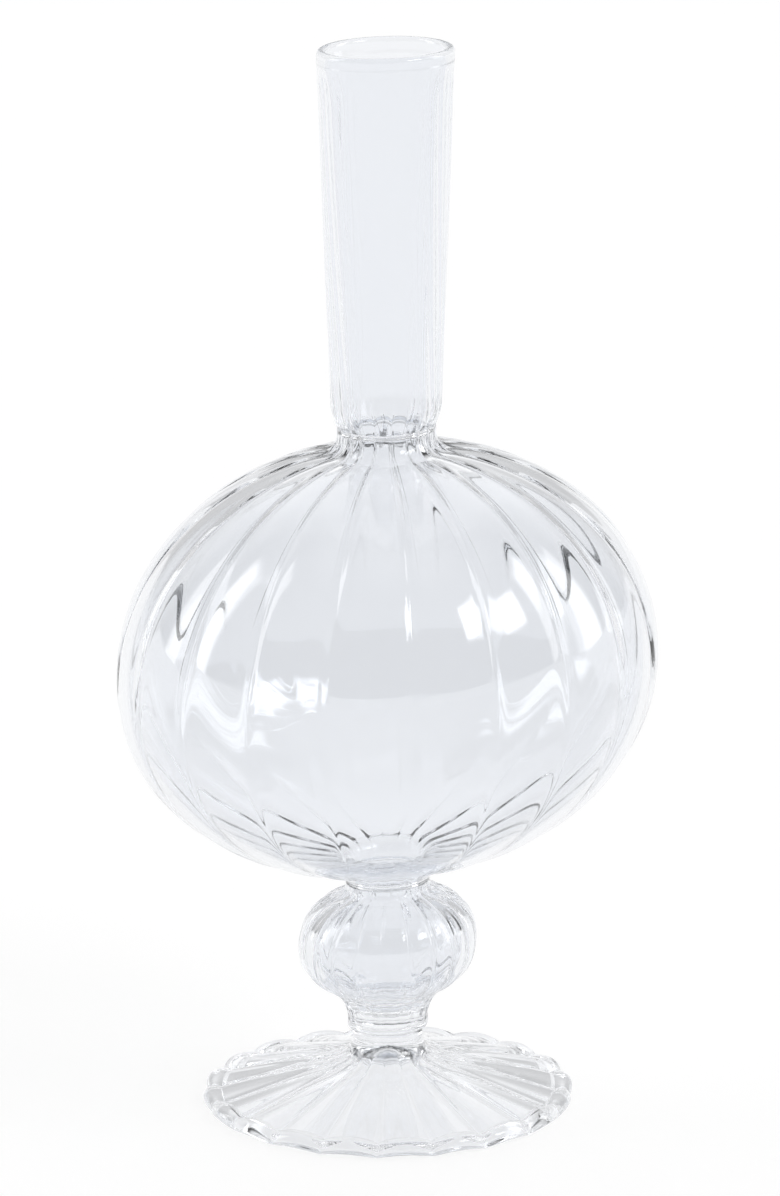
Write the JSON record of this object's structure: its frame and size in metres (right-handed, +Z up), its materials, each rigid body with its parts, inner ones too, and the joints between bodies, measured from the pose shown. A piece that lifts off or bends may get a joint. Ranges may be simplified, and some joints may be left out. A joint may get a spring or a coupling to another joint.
{
  "type": "bud vase",
  "caption": "Clear ribbed glass bud vase: slim twisted neck on a flattened pumpkin globe, over a small fluted knop and a flared, scalloped foot.",
  "frame": {"origin": "centre of the foot's resting ring, on the surface that the vase stands on", "axes": "+Z up along the vase's axis, from the foot to the mouth; -Y is the side seen from the front; +X is to the right of that view"},
  "size_m": [0.115, 0.115, 0.23],
  "materials": {
    "glass_wall": "clear mouth-blown soda-lime glass, polished, with soft ribs and faint ripples",
    "glass_bead": "clear soda-lime glass in thick fire-polished beads and weld rings"
  },
  "bodies": {
    "root": {"lip": "glass_bead", "neck": "glass_wall", "neck_seal": "glass_bead", "globe": "glass_wall", "globe_seal": "glass_bead", "knop": "glass_wall", "stem_ring": "glass_bead", "foot": "glass_wall", "foot_rim": "glass_bead"}
  },
  "joints": []
}
